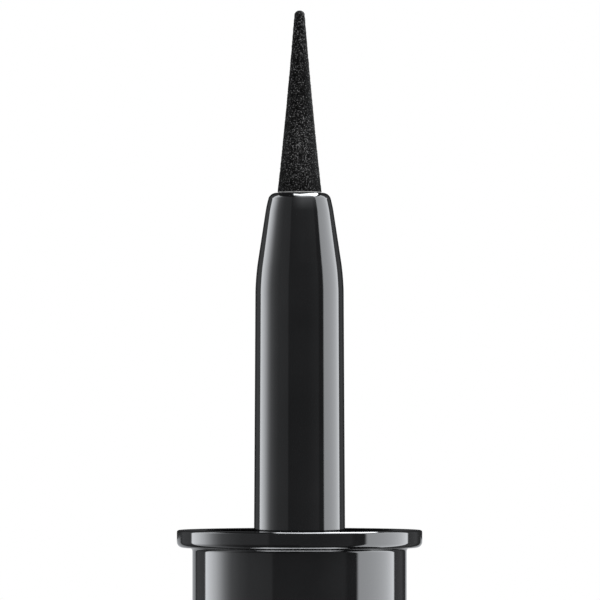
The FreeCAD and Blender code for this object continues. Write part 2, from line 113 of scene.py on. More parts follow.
def polishedBlackAbs():
    material, tree, coords = newMaterial("polishedBlackAbs")
    flow = addNode(tree, "ShaderNodeTexNoise", {
        "Vector": coords, "Scale": patternScale(glossAbs["flow"]), "Detail": 3.0})
    tint = addNode(tree, "ShaderNodeValToRGB", {"Fac": flow.outputs["Fac"]}, [
        (0.35, toLinear(glossAbs["deep"])), (0.7, toLinear(glossAbs["pale"]))])
    haze = addNode(tree, "ShaderNodeTexNoise", {
        "Vector": coords, "Scale": patternScale(glossAbs["haze"]), "Detail": 2.0})
    gloss = addNode(tree, "ShaderNodeMapRange", {
        "Value": haze.outputs["Fac"], "From Min": 0.3, "From Max": 0.7,
        "To Min": glossAbs["rough"][0], "To Max": glossAbs["rough"][1]})
    ripple = addNode(tree, "ShaderNodeTexNoise", {
        "Vector": coords, "Scale": patternScale(glossAbs["ripple"]), "Detail": 0.0})
    skin = addNode(tree, "ShaderNodeBump", {
        "Height": ripple.outputs["Fac"], "Strength": 1.0, "Distance": glossAbs["rippleHeight"] * mm})
    body = addNode(tree, "ShaderNodeBsdfPrincipled", {
        "Base Color": tint.outputs["Color"], "Roughness": gloss.outputs["Result"],
        "Normal": skin.outputs["Normal"], "IOR": glossAbs["ior"]})
    addNode(tree, "ShaderNodeOutputMaterial", {"Surface": body.outputs["BSDF"]})
    return material


# Polyester felt, needled, bonded and ground to a point, soaked in black ink: dead matt, with fine
# pale flecks where dry fibre ends catch the light. A pale band just above the nose is a painted
# highlight, a bright line of light at the felt's foot. A fibre is about 0.015 mm thick, too fine to
# show, so the flecks are drawn coarser.
felt = dict(ink="#030303", soaked="#141414", fibre="#6f6f70", fleck=0.052,
            streakAcross=0.3, streakAlong=3.0, streakShare=0.3,
            grain=0.16, grainHeight=0.012, grainStrength=0.8, rough=0.85, sheen=0.055,
            paintedLine="#a8a8a8", paintedLineFrom=0.035, paintedLineTo=0.055)  # millimetres above the nose's face


def inkedFelt():
    material, tree, coords = newMaterial("inkedPolyesterFelt")
    fleck = addNode(tree, "ShaderNodeTexNoise", {
        "Vector": coords, "Scale": patternScale(felt["fleck"]), "Detail": 0.0})
    drawn = addNode(tree, "ShaderNodeMapping", {
        "Vector": coords, "Scale": (1.0, 1.0, felt["streakAcross"] / felt["streakAlong"])})
    streak = addNode(tree, "ShaderNodeTexNoise", {
        "Vector": drawn.outputs["Vector"], "Scale": patternScale(felt["streakAcross"])})
    dry = addNode(tree, "ShaderNodeMath", {
        0: streak.outputs["Fac"], 1: felt["streakShare"], 2: fleck.outputs["Fac"]},
        operation="MULTIPLY_ADD")
    tint = addNode(tree, "ShaderNodeValToRGB", {"Fac": dry.outputs["Value"]}, [
        (0.6, toLinear(felt["ink"])), (0.76, toLinear(felt["soaked"])), (0.94, toLinear(felt["fibre"]))])
    # Painted highlight: a pale band on the felt just above the nose's face stands in for the thin bright line
    # of light at the felt's foot
    height = addNode(tree, "ShaderNodeSeparateXYZ", {"Vector": coords}).outputs["Z"]
    edge = addNode(tree, "ShaderNodeMapRange", {
        "Value": height, "From Min": (noseFace + felt["paintedLineFrom"]) * mm,
        "From Max": (noseFace + felt["paintedLineTo"]) * mm, "To Min": 1.0, "To Max": 0.0})
    colour = addNode(tree, "ShaderNodeMix", {
        "Factor": edge.outputs["Result"], 6: tint.outputs["Color"], 7: toLinear(felt["paintedLine"])},
        data_type="RGBA")
    grain = addNode(tree, "ShaderNodeTexNoise", {
        "Vector": coords, "Scale": patternScale(felt["grain"]), "Detail": 4.0})
    nap = addNode(tree, "ShaderNodeBump", {
        "Height": grain.outputs["Fac"], "Strength": felt["grainStrength"],
        "Distance": felt["grainHeight"] * mm})
    body = addNode(tree, "ShaderNodeBsdfPrincipled", {
        "Base Color": colour.outputs[2], "Roughness": felt["rough"], "Normal": nap.outputs["Normal"],
        "Specular IOR Level": felt["sheen"]})
    addNode(tree, "ShaderNodeOutputMaterial", {"Surface": body.outputs["BSDF"]})
    return material


# Loose polyester fibre ends on the felt: less ink than the bulk, so each strand has its own grey.
strand = dict(dark="#080808", mid="#1e1e1e", pale="#6f6f70", patch=0.05, rough=0.8, sheen=0.055)


def dryFibre():
    material, tree, coords = newMaterial("dryPolyesterFibre")
    patches = addNode(tree, "ShaderNodeTexVoronoi", {
        "Vector": coords, "Scale": patternScale(strand["patch"])})
    tint = addNode(tree, "ShaderNodeValToRGB", {"Fac": patches.outputs["Color"]}, [
        (0.2, toLinear(strand["dark"])), (0.7, toLinear(strand["mid"])), (1.0, toLinear(strand["pale"]))])
    body = addNode(tree, "ShaderNodeBsdfPrincipled", {
        "Base Color": tint.outputs["Color"], "Roughness": strand["rough"],
        "Specular IOR Level": strand["sheen"]})
    addNode(tree, "ShaderNodeOutputMaterial", {"Surface": body.outputs["BSDF"]})
    return material


# Natural polypropylene, moulded without colour: waxy, milky and soft in its highlights.
polypropylene = dict(milk="#dcdcd6", shade="#cfcfc8", cloud=1.6, fine=0.2, rough=(0.34, 0.5), ior=1.49,
                     translucent=0.15, lightDepth=0.6)


def naturalPolypropylene():
    material, tree, coords = newMaterial("naturalPolypropylene")
    cloud = addNode(tree, "ShaderNodeTexNoise", {
        "Vector": coords, "Scale": patternScale(polypropylene["cloud"]), "Detail": 3.0})
    tint = addNode(tree, "ShaderNodeValToRGB", {"Fac": cloud.outputs["Fac"]}, [
        (0.35, toLinear(polypropylene["shade"])), (0.65, toLinear(polypropylene["milk"]))])
    fine = addNode(tree, "ShaderNodeTexNoise", {
        "Vector": coords, "Scale": patternScale(polypropylene["fine"]), "Detail": 2.0})
    gloss = addNode(tree, "ShaderNodeMapRange", {
        "Value": fine.outputs["Fac"],
        "To Min": polypropylene["rough"][0], "To Max": polypropylene["rough"][1]})
    body = addNode(tree, "ShaderNodeBsdfPrincipled", {
        "Base Color": tint.outputs["Color"], "Roughness": gloss.outputs["Result"],
        "IOR": polypropylene["ior"], "Subsurface Weight": polypropylene["translucent"],
        "Subsurface Scale": polypropylene["lightDepth"] * mm})
    addNode(tree, "ShaderNodeOutputMaterial", {"Surface": body.outputs["BSDF"]})
    return material


# Drawn or ground stainless steel: grey metal with fine scratches that spread its highlights.
steel = dict(bright="#a8a8aa", dull="#8e8e90", scratch=0.05, rough=(0.16, 0.34))


def drawnSteel():
    material, tree, coords = newMaterial("drawnStainlessSteel")
    lines = addNode(tree, "ShaderNodeTexNoise", {
        "Vector": coords, "Scale": patternScale(steel["scratch"]), "Detail": 4.0})
    tint = addNode(tree, "ShaderNodeValToRGB", {"Fac": lines.outputs["Fac"]}, [
        (0.3, toLinear(steel["dull"])), (0.7, toLinear(steel["bright"]))])
    gloss = addNode(tree, "ShaderNodeMapRange", {
        "Value": lines.outputs["Fac"], "To Min": steel["rough"][0], "To Max": steel["rough"][1]})
    body = addNode(tree, "ShaderNodeBsdfPrincipled", {
        "Base Color": tint.outputs["Color"], "Roughness": gloss.outputs["Result"], "Metallic": 1.0})
    addNode(tree, "ShaderNodeOutputMaterial", {"Surface": body.outputs["BSDF"]})
    return material


# Moulded nitrile rubber: dull black with a bloom of grey.
rubber = dict(black="#1a1a1a", bloom="#2b2b2a", patch=0.4, rough=0.7)


def nitrileRubber():
    material, tree, coords = newMaterial("mouldedNitrileRubber")
    bloom = addNode(tree, "ShaderNodeTexNoise", {
        "Vector": coords, "Scale": patternScale(rubber["patch"]), "Detail": 4.0})
    tint = addNode(tree, "ShaderNodeValToRGB", {"Fac": bloom.outputs["Fac"]}, [
        (0.4, toLinear(rubber["black"])), (0.8, toLinear(rubber["bloom"]))])
    body = addNode(tree, "ShaderNodeBsdfPrincipled", {
        "Base Color": tint.outputs["Color"], "Roughness": rubber["rough"]})
    addNode(tree, "ShaderNodeOutputMaterial", {"Surface": body.outputs["BSDF"]})
    return material


# Bundled polyester wick wet with ink: dark, with the fibres running along the pen.
wick = dict(wet="#141415", fibre="#3a3a3c", across=0.06, along=2.0, rough=0.8)


def inkedWick():
    material, tree, coords = newMaterial("inkedPolyesterWick")
    stretched = addNode(tree, "ShaderNodeMapping", {
        "Vector": coords, "Scale": (1.0, 1.0, wick["across"] / wick["along"])})
    threads = addNode(tree, "ShaderNodeTexNoise", {
        "Vector": stretched.outputs["Vector"], "Scale": patternScale(wick["across"]), "Detail": 2.0})
    tint = addNode(tree, "ShaderNodeValToRGB", {"Fac": threads.outputs["Fac"]}, [
        (0.35, toLinear(wick["wet"])), (0.75, toLinear(wick["fibre"]))])
    body = addNode(tree, "ShaderNodeBsdfPrincipled", {
        "Base Color": tint.outputs["Color"], "Roughness": wick["rough"]})
    addNode(tree, "ShaderNodeOutputMaterial", {"Surface": body.outputs["BSDF"]})
    return material


blackAbs = polishedBlackAbs()
feltInked = inkedFelt()
feltFibre = dryFibre()
milkyPlastic = naturalPolypropylene()
brightSteel = drawnSteel()
sealRubber = nitrileRubber()
wickFibre = inkedWick()
print("materials made:", len(bpy.data.materials))

# Turning: faces round the axis, the sharpest angle that is still shaded smooth and the most that a facet of
# a rounding turns, in degrees; the longest run of a face and the gap that is welded, in millimetres
turning = dict(steps=160, smoothTo=35.0, facet=8.0, fewestFacets=6, longestRun=1.5, weld=1e-5)


def finishPiece(name, bm, body, node, material, even=False):
    mesh = bpy.data.meshes.new(name)
    bm.to_mesh(mesh)
    bm.free()
    mesh.shade_smooth()
    mesh.set_sharp_from_angle(angle=math.radians(turning["smoothTo"]))
    mesh.materials.append(material)
    piece = bpy.data.objects.new(name, mesh)
    scene.collection.objects.link(piece)
    if even:  # flat runs stay true beside small roundings; in metres the faces would be too small to weigh
        piece.modifiers.new("evenShading", "WEIGHTED_NORMAL").keep_sharp = True
        bpy.context.view_layer.update()
        mesh = bpy.data.meshes.new_from_object(piece.evaluated_get(bpy.context.evaluated_depsgraph_get()))
        piece.modifiers.clear()
        piece.data = mesh
    mesh.transform(Matrix.Scale(mm, 4))
    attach(piece, body)
    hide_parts(node)
    print(name, "made:", len(mesh.polygons), "faces")
    return piece


def turnedShape(outline, steps=turning["steps"], fineRun=turning["longestRun"], fineFrom=0.0):
    # a corner is (radius, height) or (radius, height, rounding), in millimetres
    bm = bmesh.new()
    corners = [bm.verts.new((corner[0], 0, corner[1])) for corner in outline]
    for here, after in zip(corners, corners[1:] + corners[:1]):
        if here.co.x or after.co.x:
            bm.edges.new((here, after))
    for corner, spot in zip(corners, outline):
        if len(spot) == 3:
            ways = [edge.other_vert(corner).co - corner.co for edge in corner.link_edges]
            bend = math.pi - ways[0].angle(ways[1])
            facets = math.ceil(math.degrees(bend) / turning["facet"])
            bmesh.ops.bevel(bm, geom=[corner], offset=spot[2] * math.tan(bend / 2), offset_type="OFFSET",
                            segments=max(turning["fewestFacets"], facets), profile=0.5,
                            affect="VERTICES", material=-1)
    for edge in bm.edges[:]:
        run = fineRun if min(vert.co.z for vert in edge.verts) >= fineFrom else turning["longestRun"]
        if edge.calc_length() > run:
            bmesh.ops.subdivide_edges(bm, edges=[edge], cuts=int(edge.calc_length() / run))
    bmesh.ops.spin(bm, geom=bm.verts[:] + bm.edges[:], cent=(0, 0, 0), axis=(0, 0, 1), angle=2 * math.pi,
                   steps=steps, use_merge=True)
    bmesh.ops.remove_doubles(bm, verts=bm.verts[:], dist=turning["weld"])
    bmesh.ops.recalc_face_normals(bm, faces=bm.faces[:])
    return bm


def turnedPiece(name, outline, body, node, material, slot, **fineness):
    return finishPiece(name, turnedShape(outline, **fineness), body, node, material, even=True)


# Barrel: thin tube with the flanged rim
barrel = dict(radius=5.1, bore=4.5, flange=0.83, rimEdge=0.1, underEdge=0.28, root=0.18,
              tailEdge=0.1, snapDepth=0.1, snapWidth=0.64, snapBelow=3.8)
underFlange = barrelRim - barrel["flange"]
snapHeight = barrelRim - barrel["snapBelow"]
turnedPiece("barrelTube", [
    (barrel["bore"], barrelTail),
    (barrel["radius"], barrelTail, barrel["tailEdge"]),
    (barrel["radius"], underFlange, barrel["root"]),
    (flangeRadius, underFlange, barrel["underEdge"]),
    (flangeRadius, barrelRim, barrel["rimEdge"]),
    (barrel["bore"], barrelRim),
    (barrel["bore"], snapHeight + barrel["snapWidth"] / 2),
    (barrel["bore"] + barrel["snapDepth"], snapHeight),
    (barrel["bore"], snapHeight - barrel["snapWidth"] / 2),
], "pen", "barrel", blackAbs, "barrel_plastic")

# Front section: neck and nose in front, plug and spigot hidden in the barrel
section = dict(feltBore=1.05, boreEdge=0.03, nose=1.409, noseEdge=0.36, noseLength=4.04,
               brow=1.569, browBelow=0.566, browBlend=5.2,
               neckTop=2.1, shoulder=10.0, neckFoot=2.17, neckRoot=0.25, well=0.8, plug=4.48, plugEdge=0.06,
               spigot=3.53, spigotLength=6.0, groove=2.61, grooveHalf=0.49, grooveBelow=1.2,
               socket=2.5, socketDepth=4.0, wickBore=0.92, longestRun=0.8)
shoulderHeight = noseFace - section["noseLength"]
wellFloor = barrelRim - section["well"]
spigotEnd = tankTop - section["spigotLength"]
grooveHeight = tankTop - section["grooveBelow"]
turnedPiece("neckAndNose", [
    (section["feltBore"], noseFace, section["boreEdge"]),
    (section["nose"], noseFace, section["noseEdge"]),
    (section["brow"], noseFace - section["browBelow"], section["browBlend"]),
    (section["neckTop"], shoulderHeight, section["shoulder"]),
    (section["neckFoot"], wellFloor, section["neckRoot"]),
    (section["plug"], wellFloor, section["plugEdge"]),
    (section["plug"], snapHeight + barrel["snapWidth"] / 2),
    (section["plug"] + barrel["snapDepth"], snapHeight),
    (section["plug"], snapHeight - barrel["snapWidth"] / 2),
    (section["plug"], tankTop),
    (section["spigot"], tankTop),
    (section["spigot"], grooveHeight + section["grooveHalf"]),
    (section["groove"], grooveHeight + section["grooveHalf"]),
    (section["groove"], grooveHeight - section["grooveHalf"]),
    (section["spigot"], grooveHeight - section["grooveHalf"]),
    (section["spigot"], spigotEnd),
    (section["socket"], spigotEnd),
    (section["socket"], spigotEnd + section["socketDepth"]),
    (section["wickBore"], spigotEnd + section["socketDepth"]),
    (section["wickBore"], feltFoot),
    (section["feltBore"], feltFoot),
], "pen", "front_section", blackAbs, "section_plastic", fineRun=section["longestRun"])

# Felt point: ground cone with a hollow flank and a fibrous skin, which the nose holds close at its foot
point = dict(end=0.22, endRound=0.22, hollow=0.036, hollowBlend=120.0, steps=128, ring=0.02, held=0.1,
             coarse=0.16, coarseDepth=0.016, fine=0.055, fineDepth=0.012, proud=0.006)
feltShape = turnedShape([
    (0, feltFoot),
    (feltRadius, feltFoot),
    (feltRadius, noseFace),
    ((feltRadius + point["end"]) / 2 - point["hollow"], (noseFace + feltPoint) / 2, point["hollowBlend"]),
    (point["end"], feltPoint, point["endRound"]),
    (0, feltPoint),
], steps=point["steps"], fineRun=point["ring"], fineFrom=noseFace)
for vert in feltShape.verts:
    if vert.co.z > noseFace:
        outwards = Vector((vert.co.x, vert.co.y, 0)).normalized()
        lumps = noise.noise(vert.co / point["coarse"]) * point["coarseDepth"]
        nap = noise.noise(vert.co / point["fine"]) * point["fineDepth"]
        loose = min(1.0, (vert.co.z - noseFace) / point["held"])
        vert.co += outwards * (point["proud"] + lumps + nap) * loose
finishPiece("feltPoint", feltShape, "pen", "felt_tip", feltInked)

# Loose fibre ends, a few dozen faces each, lying on the felt. A real fibre is about 0.015 mm thick, too fine
# to show, so these are drawn nearly twice as thick
fibres = dict(
    count=3600, seed=5, shortest=0.05, longest=0.16, radius=0.013, lift=0.014, liftShare=(0.3, 1.0), lean=0.7,
    fromNose=0.05, bareLength=0.35, spread=(0.05, 0.995),
    bow=((-0.5, -0.5), (-0.2, 1.0), (0.2, 1.0), (0.5, -0.5)))  # shares of the length and of the lift
chance = random.Random(fibres["seed"])


def feltRadiusAt(height):
    share = (height - noseFace) / (feltPoint - noseFace)
    sag = 4 * point["hollow"] * share * (1 - share)
    return feltRadius + (point["end"] - feltRadius) * share - sag


strands = bpy.data.curves.new("feltFibres", "CURVE")
strands.dimensions = "3D"
strands.bevel_depth = fibres["radius"] * mm
strands.bevel_resolution = 0
strands.resolution_u = 2
strands.use_fill_caps = True
for _ in range(fibres["count"]):
    share = 1 - math.sqrt(chance.uniform(*fibres["spread"]))  # even over the cone, which is wider below
    height = noseFace + fibres["fromNose"] + (feltPoint - noseFace - fibres["bareLength"]) * share
    turn = chance.uniform(0, 2 * math.pi)
    lean = chance.gauss(0, fibres["lean"])
    length = chance.uniform(fibres["shortest"], fibres["longest"])
    spline = strands.splines.new("NURBS")
    spline.points.add(len(fibres["bow"]) - 1)
    for spot, (along, lift) in zip(spline.points, fibres["bow"]):
        z = height + length * along * math.cos(lean)
        standOff = fibres["lift"] * lift * chance.uniform(*fibres["liftShare"])
        radius = feltRadiusAt(z) + point["proud"] + standOff
        angle = turn + length * along * math.sin(lean) / radius
        spot.co = (radius * math.cos(angle) * mm, radius * math.sin(angle) * mm, z * mm, 1)
    spline.use_endpoint_u = True
    spline.order_u = 3
strandCurve = bpy.data.objects.new("feltFibresCurve", strands)
scene.collection.objects.link(strandCurve)
bpy.context.view_layer.update()
fibreMesh = bpy.data.meshes.new_from_object(strandCurve.evaluated_get(bpy.context.evaluated_depsgraph_get()))
bpy.data.objects.remove(strandCurve)
fibreMesh.materials.clear()
fibreMesh.materials.append(feltFibre)
fibrePiece = bpy.data.objects.new("feltFibres", fibreMesh)
scene.collection.objects.link(fibrePiece)
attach(fibrePiece, "pen")
print("feltFibres made:", len(fibreMesh.polygons), "faces")

# Tail plug: closes the barrel's end
tail = dict(headInset=0.05, headEdge=0.25, seamEdge=0.06, skirt=4.38, inside=3.38, bead=4.48, beadHalf=0.4,
            beadAbove=2.0, beadPitch=8.0)
beadLow = barrelTail + tail["beadAbove"]
beadHigh = beadLow + tail["beadPitch"]
headRadius = barrel["radius"] - tail["headInset"]
turnedPiece("tailPlug", [
    (0, tailFoot),
    (headRadius, tailFoot, tail["headEdge"]),
    (headRadius, barrelTail, tail["seamEdge"]),
    (tail["skirt"], barrelTail),
    (tail["skirt"], beadLow - tail["beadHalf"]),
    (tail["bead"], beadLow),
    (tail["skirt"], beadLow + tail["beadHalf"]),
    (tail["skirt"], beadHigh - tail["beadHalf"]),
    (tail["bead"], beadHigh),
    (tail["skirt"], beadHigh + tail["beadHalf"]),
    (tail["skirt"], tailTop),
    (tail["inside"], tailTop),
    (tail["inside"], barrelTail),
    (0, barrelTail),
], "pen", "tail_plug", blackAbs, "barrel_plastic")

# Cap: sleeve, closed end, collar and the sprung inner cap
cap = dict(postBore=5.13, bore=4.68, mouthEdge=0.12, stepEdge=0.05, seamEdge=0.06, endEdge=0.5, end=1.5,
           plug=4.66, tube=3.06, post=1.5, stopPost=4.5)
turnedPiece("capSleeve", [
    (cap["bore"], cap["end"]),
    (flangeRadius, cap["end"], cap["seamEdge"]),
    (flangeRadius, capMouth, cap["mouthEdge"]),
    (cap["postBore"], capMouth, cap["mouthEdge"]),
    (cap["postBore"], tailFoot),
    (cap["bore"], tailFoot, cap["stepEdge"]),
], "cap", "cap_sleeve", blackAbs, "cap_plastic")

springSeat = reach("cap_end_plug")[2]
turnedPiece("capEnd", [
    (0, 0),
    (flangeRadius, 0, cap["endEdge"]),
    (flangeRadius, cap["end"], cap["seamEdge"]),
    (cap["plug"], cap["end"]),
    (cap["plug"], springSeat),
    (cap["tube"], springSeat),
    (cap["tube"], cap["end"]),
    (cap["post"], cap["end"]),
    (cap["post"], cap["end"] + cap["stopPost"]),
    (0, cap["end"] + cap["stopPost"]),
], "cap", "cap_end_plug", blackAbs, "cap_plastic")

collar = dict(bore=2.2, lead=0.5, edge=0.08)
collarFoot, collarTop = reach("cap_collar")[1:]
turnedPiece("capCollar", [
    (collar["bore"], collarFoot),
    (cap["plug"], collarFoot),
    (cap["plug"], collarTop, collar["edge"]),
    (collar["bore"] + collar["lead"], collarTop, collar["edge"]),
    (collar["bore"], collarTop - collar["lead"], collar["edge"]),
], "cap", "cap_collar", milkyPlastic, "liner_plastic")

cup = dict(radius=2.86, seal=1.86, lip=0.3, guideThick=1.0, floor=1.0, footEdge=0.5, rootEdge=0.1, edge=0.08)
guideRadius, cupFoot, lipHeight = reach("inner_cap")
turnedPiece("innerCap", [
    (0, cupFoot),
    (cup["radius"], cupFoot, cup["footEdge"]),
    (cup["radius"], lipHeight - cup["guideThick"], cup["rootEdge"]),
    (guideRadius, lipHeight - cup["guideThick"], cup["edge"]),
    (guideRadius, lipHeight, cup["edge"]),
    (cup["seal"] + cup["lip"], lipHeight, cup["edge"]),
    (cup["seal"], lipHeight - cup["lip"], cup["edge"]),
    (cup["seal"], cupFoot + cup["floor"]),
    (0, cupFoot + cup["floor"]),
], "inner_cap", "inner_cap", milkyPlastic, "liner_plastic")

# Spring: round wire wound by spinning its section up the axis. It is pressed a little shorter than the inner
# cap's stroke asks for
spring = dict(wire=0.5, turns=6, stepsPerTurn=40, sides=12, spare=0.03)
springRadius, springLow, springHigh = reach("inner_cap_spring")
coilSteps = spring["turns"] * spring["stepsPerTurn"]
climb = (springHigh - springLow - spring["wire"]) / coilSteps
coil = bmesh.new()
bmesh.ops.create_circle(coil, cap_ends=True, radius=spring["wire"] / 2, segments=spring["sides"])
bmesh.ops.rotate(coil, verts=coil.verts[:], cent=(0, 0, 0), matrix=Matrix.Rotation(math.pi / 2, 3, "X"))
bmesh.ops.translate(coil, verts=coil.verts[:],
                    vec=(springRadius - spring["wire"] / 2, 0, springLow + spring["wire"] / 2))
bmesh.ops.spin(coil, geom=coil.verts[:] + coil.edges[:] + coil.faces[:], cent=(0, 0, 0), axis=(0, 0, 1),
               dvec=(0, 0, climb), angle=2 * math.pi * spring["turns"], steps=coilSteps)
bmesh.ops.recalc_face_normals(coil, faces=coil.faces[:])
springPiece = finishPiece("innerCapSpring", coil, "cap", "inner_cap_spring", brightSteel)
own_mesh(springPiece)

# Hidden nodes keep their CAD shape and get the finish of what they are made of
hidden = dict(relay_core=wickFibre, collector=milkyPlastic, tank_seal=sealRubber, ink_tank=milkyPlastic,
              mixing_ball=brightSteel)
for node, material in hidden.items():
    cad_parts[node].data.materials.clear()
    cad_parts[node].data.materials.append(material)
print("hidden nodes finished:", len(hidden))

# Floor: matt white card, shaded near the pen and fading to the white of the background further out
ground = dict(radius=160.0, sides=96, drop=0.02, pale="#f4f4f2", grey="#f2f2ef", mottle=9.0,
              fadeFrom=50.0, fadeTo=140.0)
bm = bmesh.new()
bmesh.ops.create_circle(bm, cap_ends=True, radius=ground["radius"] * mm, segments=ground["sides"])
bmesh.ops.translate(bm, verts=bm.verts[:], vec=(0, 0, -ground["drop"] * mm))
floorMesh = bpy.data.meshes.new("floor")
bm.to_mesh(floorMesh)
bm.free()
floor = bpy.data.objects.new("floor", floorMesh)
scene.collection.objects.link(floor)
material, tree, coords = newMaterial("mattWhiteCard")
mottle = addNode(tree, "ShaderNodeTexNoise", {
    "Vector": coords, "Scale": patternScale(ground["mottle"]), "Detail": 3.0})
tint = addNode(tree, "ShaderNodeValToRGB", {"Fac": mottle.outputs["Fac"]}, [
    (0.3, toLinear(ground["grey"])), (0.7, toLinear(ground["pale"]))])
matt = addNode(tree, "ShaderNodeBsdfDiffuse", {"Color": tint.outputs["Color"]})
white = addNode(tree, "ShaderNodeEmission", {"Color": toLinear("#ffffff"), "Strength": 1.0})
away = addNode(tree, "ShaderNodeVectorMath", {"Vector": coords}, operation="LENGTH")
fade = addNode(tree, "ShaderNodeMapRange", {
    "Value": away.outputs["Value"], "From Min": ground["fadeFrom"] * mm, "From Max": ground["fadeTo"] * mm},
    interpolation_type="SMOOTHSTEP")
path = addNode(tree, "ShaderNodeLightPath").outputs
seen = addNode(tree, "ShaderNodeMath", {0: fade.outputs["Result"], 1: path["Is Camera Ray"]},
               operation="MULTIPLY")
blendOut = addNode(tree, "ShaderNodeMixShader", {
    0: seen.outputs["Value"], 1: matt.outputs["BSDF"], 2: white.outputs["Emission"]})
addNode(tree, "ShaderNodeOutputMaterial", {"Surface": blendOut.outputs["Shader"]})
floorMesh.materials.append(material)
floor.visible_glossy = False  # gloss shows what the studio has below instead
print("floor made")

# Studio: white behind for the camera. Gloss sees two upright soft boxes, the left one fading towards the
# front and downwards, dark flags beyond them, a glow and a bank overhead, a pale card low behind the pen and
# a small panel straight below. Sizes of the bank and the panel are shares of their distance from the pen
studio = dict(
    ambient=0.5, boxTint="#f8fbff", boxGain=1.04, peak=7.0, dim=0.03, boxLow=-47.0, boxHigh=45.0,
    glowLeft=-30.0, glowFull=10.0, glowRight=65.0,
    bankLevel=25.0, bankMiddle=0.322, bankAside=-0.15, bankHalf=0.522, bankTaper=-0.3, bankSoft=0.08,
    bankFront=-0.25, bankBack=1.2, cardLevel=0.62, cardLeft=-29.0, cardRight=20.0, cardTop=-1.21,
    panelLevel=8.0, panelHalf=0.4, panelMiddle=0.0, panelDepth=0.22, leastSlope=0.05,
    # degrees from the camera's side, right positive, and level
    sides=[(-180, 0.01), (-160, 0.01), (-150, 0.06), (-142, 0.2), (-122.7, 0.32), (-121.2, 6.2), (-110, 6.2),
           (-102, 5.5), (-95, 4.1), (-88, 2.45), (-82, 1.5), (-78, 1.08), (-73, 0.88), (-67, 0.65),
           (-56, 0.44), (-30, 0.37), (-28, 0.16), (20, 0.18), (49, 0.28), (53, 0.14), (64, 0.15), (66.5, 5.3),
           (107, 5.5), (122, 6.0), (123.5, 0.25), (142, 0.2), (150, 0.06), (160, 0.01), (180, 0.01)],
    # depth below the level of the view, as its sine, and share of the left box's light that is left there
    leftFoot=[(0.1, 1.0), (0.5, 0.3), (0.7, 0.2), (0.9, 0.08), (1.0, 0.04)],
    # height of the view, as its sine, and level above the camera
    glow=[(0.29, 0.0), (0.36, 0.13), (0.42, 0.45), (0.47, 0.9), (0.67, 1.9), (0.87, 7.0), (0.96, 25.0),
          (1.0, 25.0)])


def greyStop(place, level):
    return place, (level, level, level, 1.0)


world = bpy.data.worlds.new("studio")
scene.world = world
world.use_nodes = True
tree = world.node_tree
tree.nodes.clear()
way = addNode(tree, "ShaderNodeTexCoord").outputs["Generated"]
parts = addNode(tree, "ShaderNodeSeparateXYZ", {"Vector": way}).outputs

# Soft boxes: a level all round, cut off at their tops and feet
toCamera = addNode(tree, "ShaderNodeMath", {0: parts["Y"], 1: -1.0}, operation="MULTIPLY").outputs["Value"]
heading = addNode(tree, "ShaderNodeMath", {0: parts["X"], 1: toCamera}, operation="ARCTAN2").outputs["Value"]
place = addNode(tree, "ShaderNodeMath", {0: heading, 1: 1 / (2 * math.pi), 2: 0.5},
                operation="MULTIPLY_ADD").outputs["Value"]
around = addNode(tree, "ShaderNodeValToRGB", {"Fac": place}, [
    greyStop((degrees + 180) / 360, level * studio["boxGain"] / studio["peak"])
    for degrees, level in studio["sides"]]).outputs["Color"]
lowest, highest = [math.sin(math.radians(studio[name])) for name in ("boxLow", "boxHigh")]
down = addNode(tree, "ShaderNodeMath", {0: parts["Z"], 1: -1.0}, operation="MULTIPLY").outputs["Value"]
leftFoot = addNode(tree, "ShaderNodeValToRGB", {"Fac": down}, [
    greyStop(sine, share) for sine, share in studio["leftFoot"]]).outputs["Color"]
rightFoot = addNode(tree, "ShaderNodeMath", {0: parts["Z"], 1: lowest},
                    operation="GREATER_THAN").outputs["Value"]
onRight = addNode(tree, "ShaderNodeMath", {0: parts["X"], 1: 0.0}, operation="GREATER_THAN").outputs["Value"]
foot = addNode(tree, "ShaderNodeMix", {"Factor": onRight, "A": leftFoot, "B": rightFoot}).outputs["Result"]
belowTop = addNode(tree, "ShaderNodeMath", {0: parts["Z"], 1: highest},
                   operation="LESS_THAN").outputs["Value"]
upright = addNode(tree, "ShaderNodeMath", {0: foot, 1: belowTop}, operation="MULTIPLY").outputs["Value"]
boxes = addNode(tree, "ShaderNodeMath", {0: around, 1: upright}, operation="MULTIPLY").outputs["Value"]
sideLevel = addNode(tree, "ShaderNodeMath", {0: boxes, 1: studio["peak"], 2: studio["dim"]},
                    operation="MULTIPLY_ADD").outputs["Value"]

# Glow above the camera
fromLeft = addNode(tree, "ShaderNodeMapRange", {
    "Value": heading, "From Min": math.radians(studio["glowLeft"]),
    "From Max": math.radians(studio["glowFull"])}).outputs["Result"]
toRight = addNode(tree, "ShaderNodeMath", {0: heading, 1: math.radians(studio["glowRight"])},
                  operation="LESS_THAN").outputs["Value"]
inFront = addNode(tree, "ShaderNodeMath", {0: fromLeft, 1: toRight}, operation="MULTIPLY").outputs["Value"]
above = addNode(tree, "ShaderNodeValToRGB", {"Fac": parts["Z"]}, [
    greyStop(sine, level / studio["bankLevel"]) for sine, level in studio["glow"]]).outputs["Color"]
glow = addNode(tree, "ShaderNodeMath", {0: above, 1: inFront}, operation="MULTIPLY").outputs["Value"]

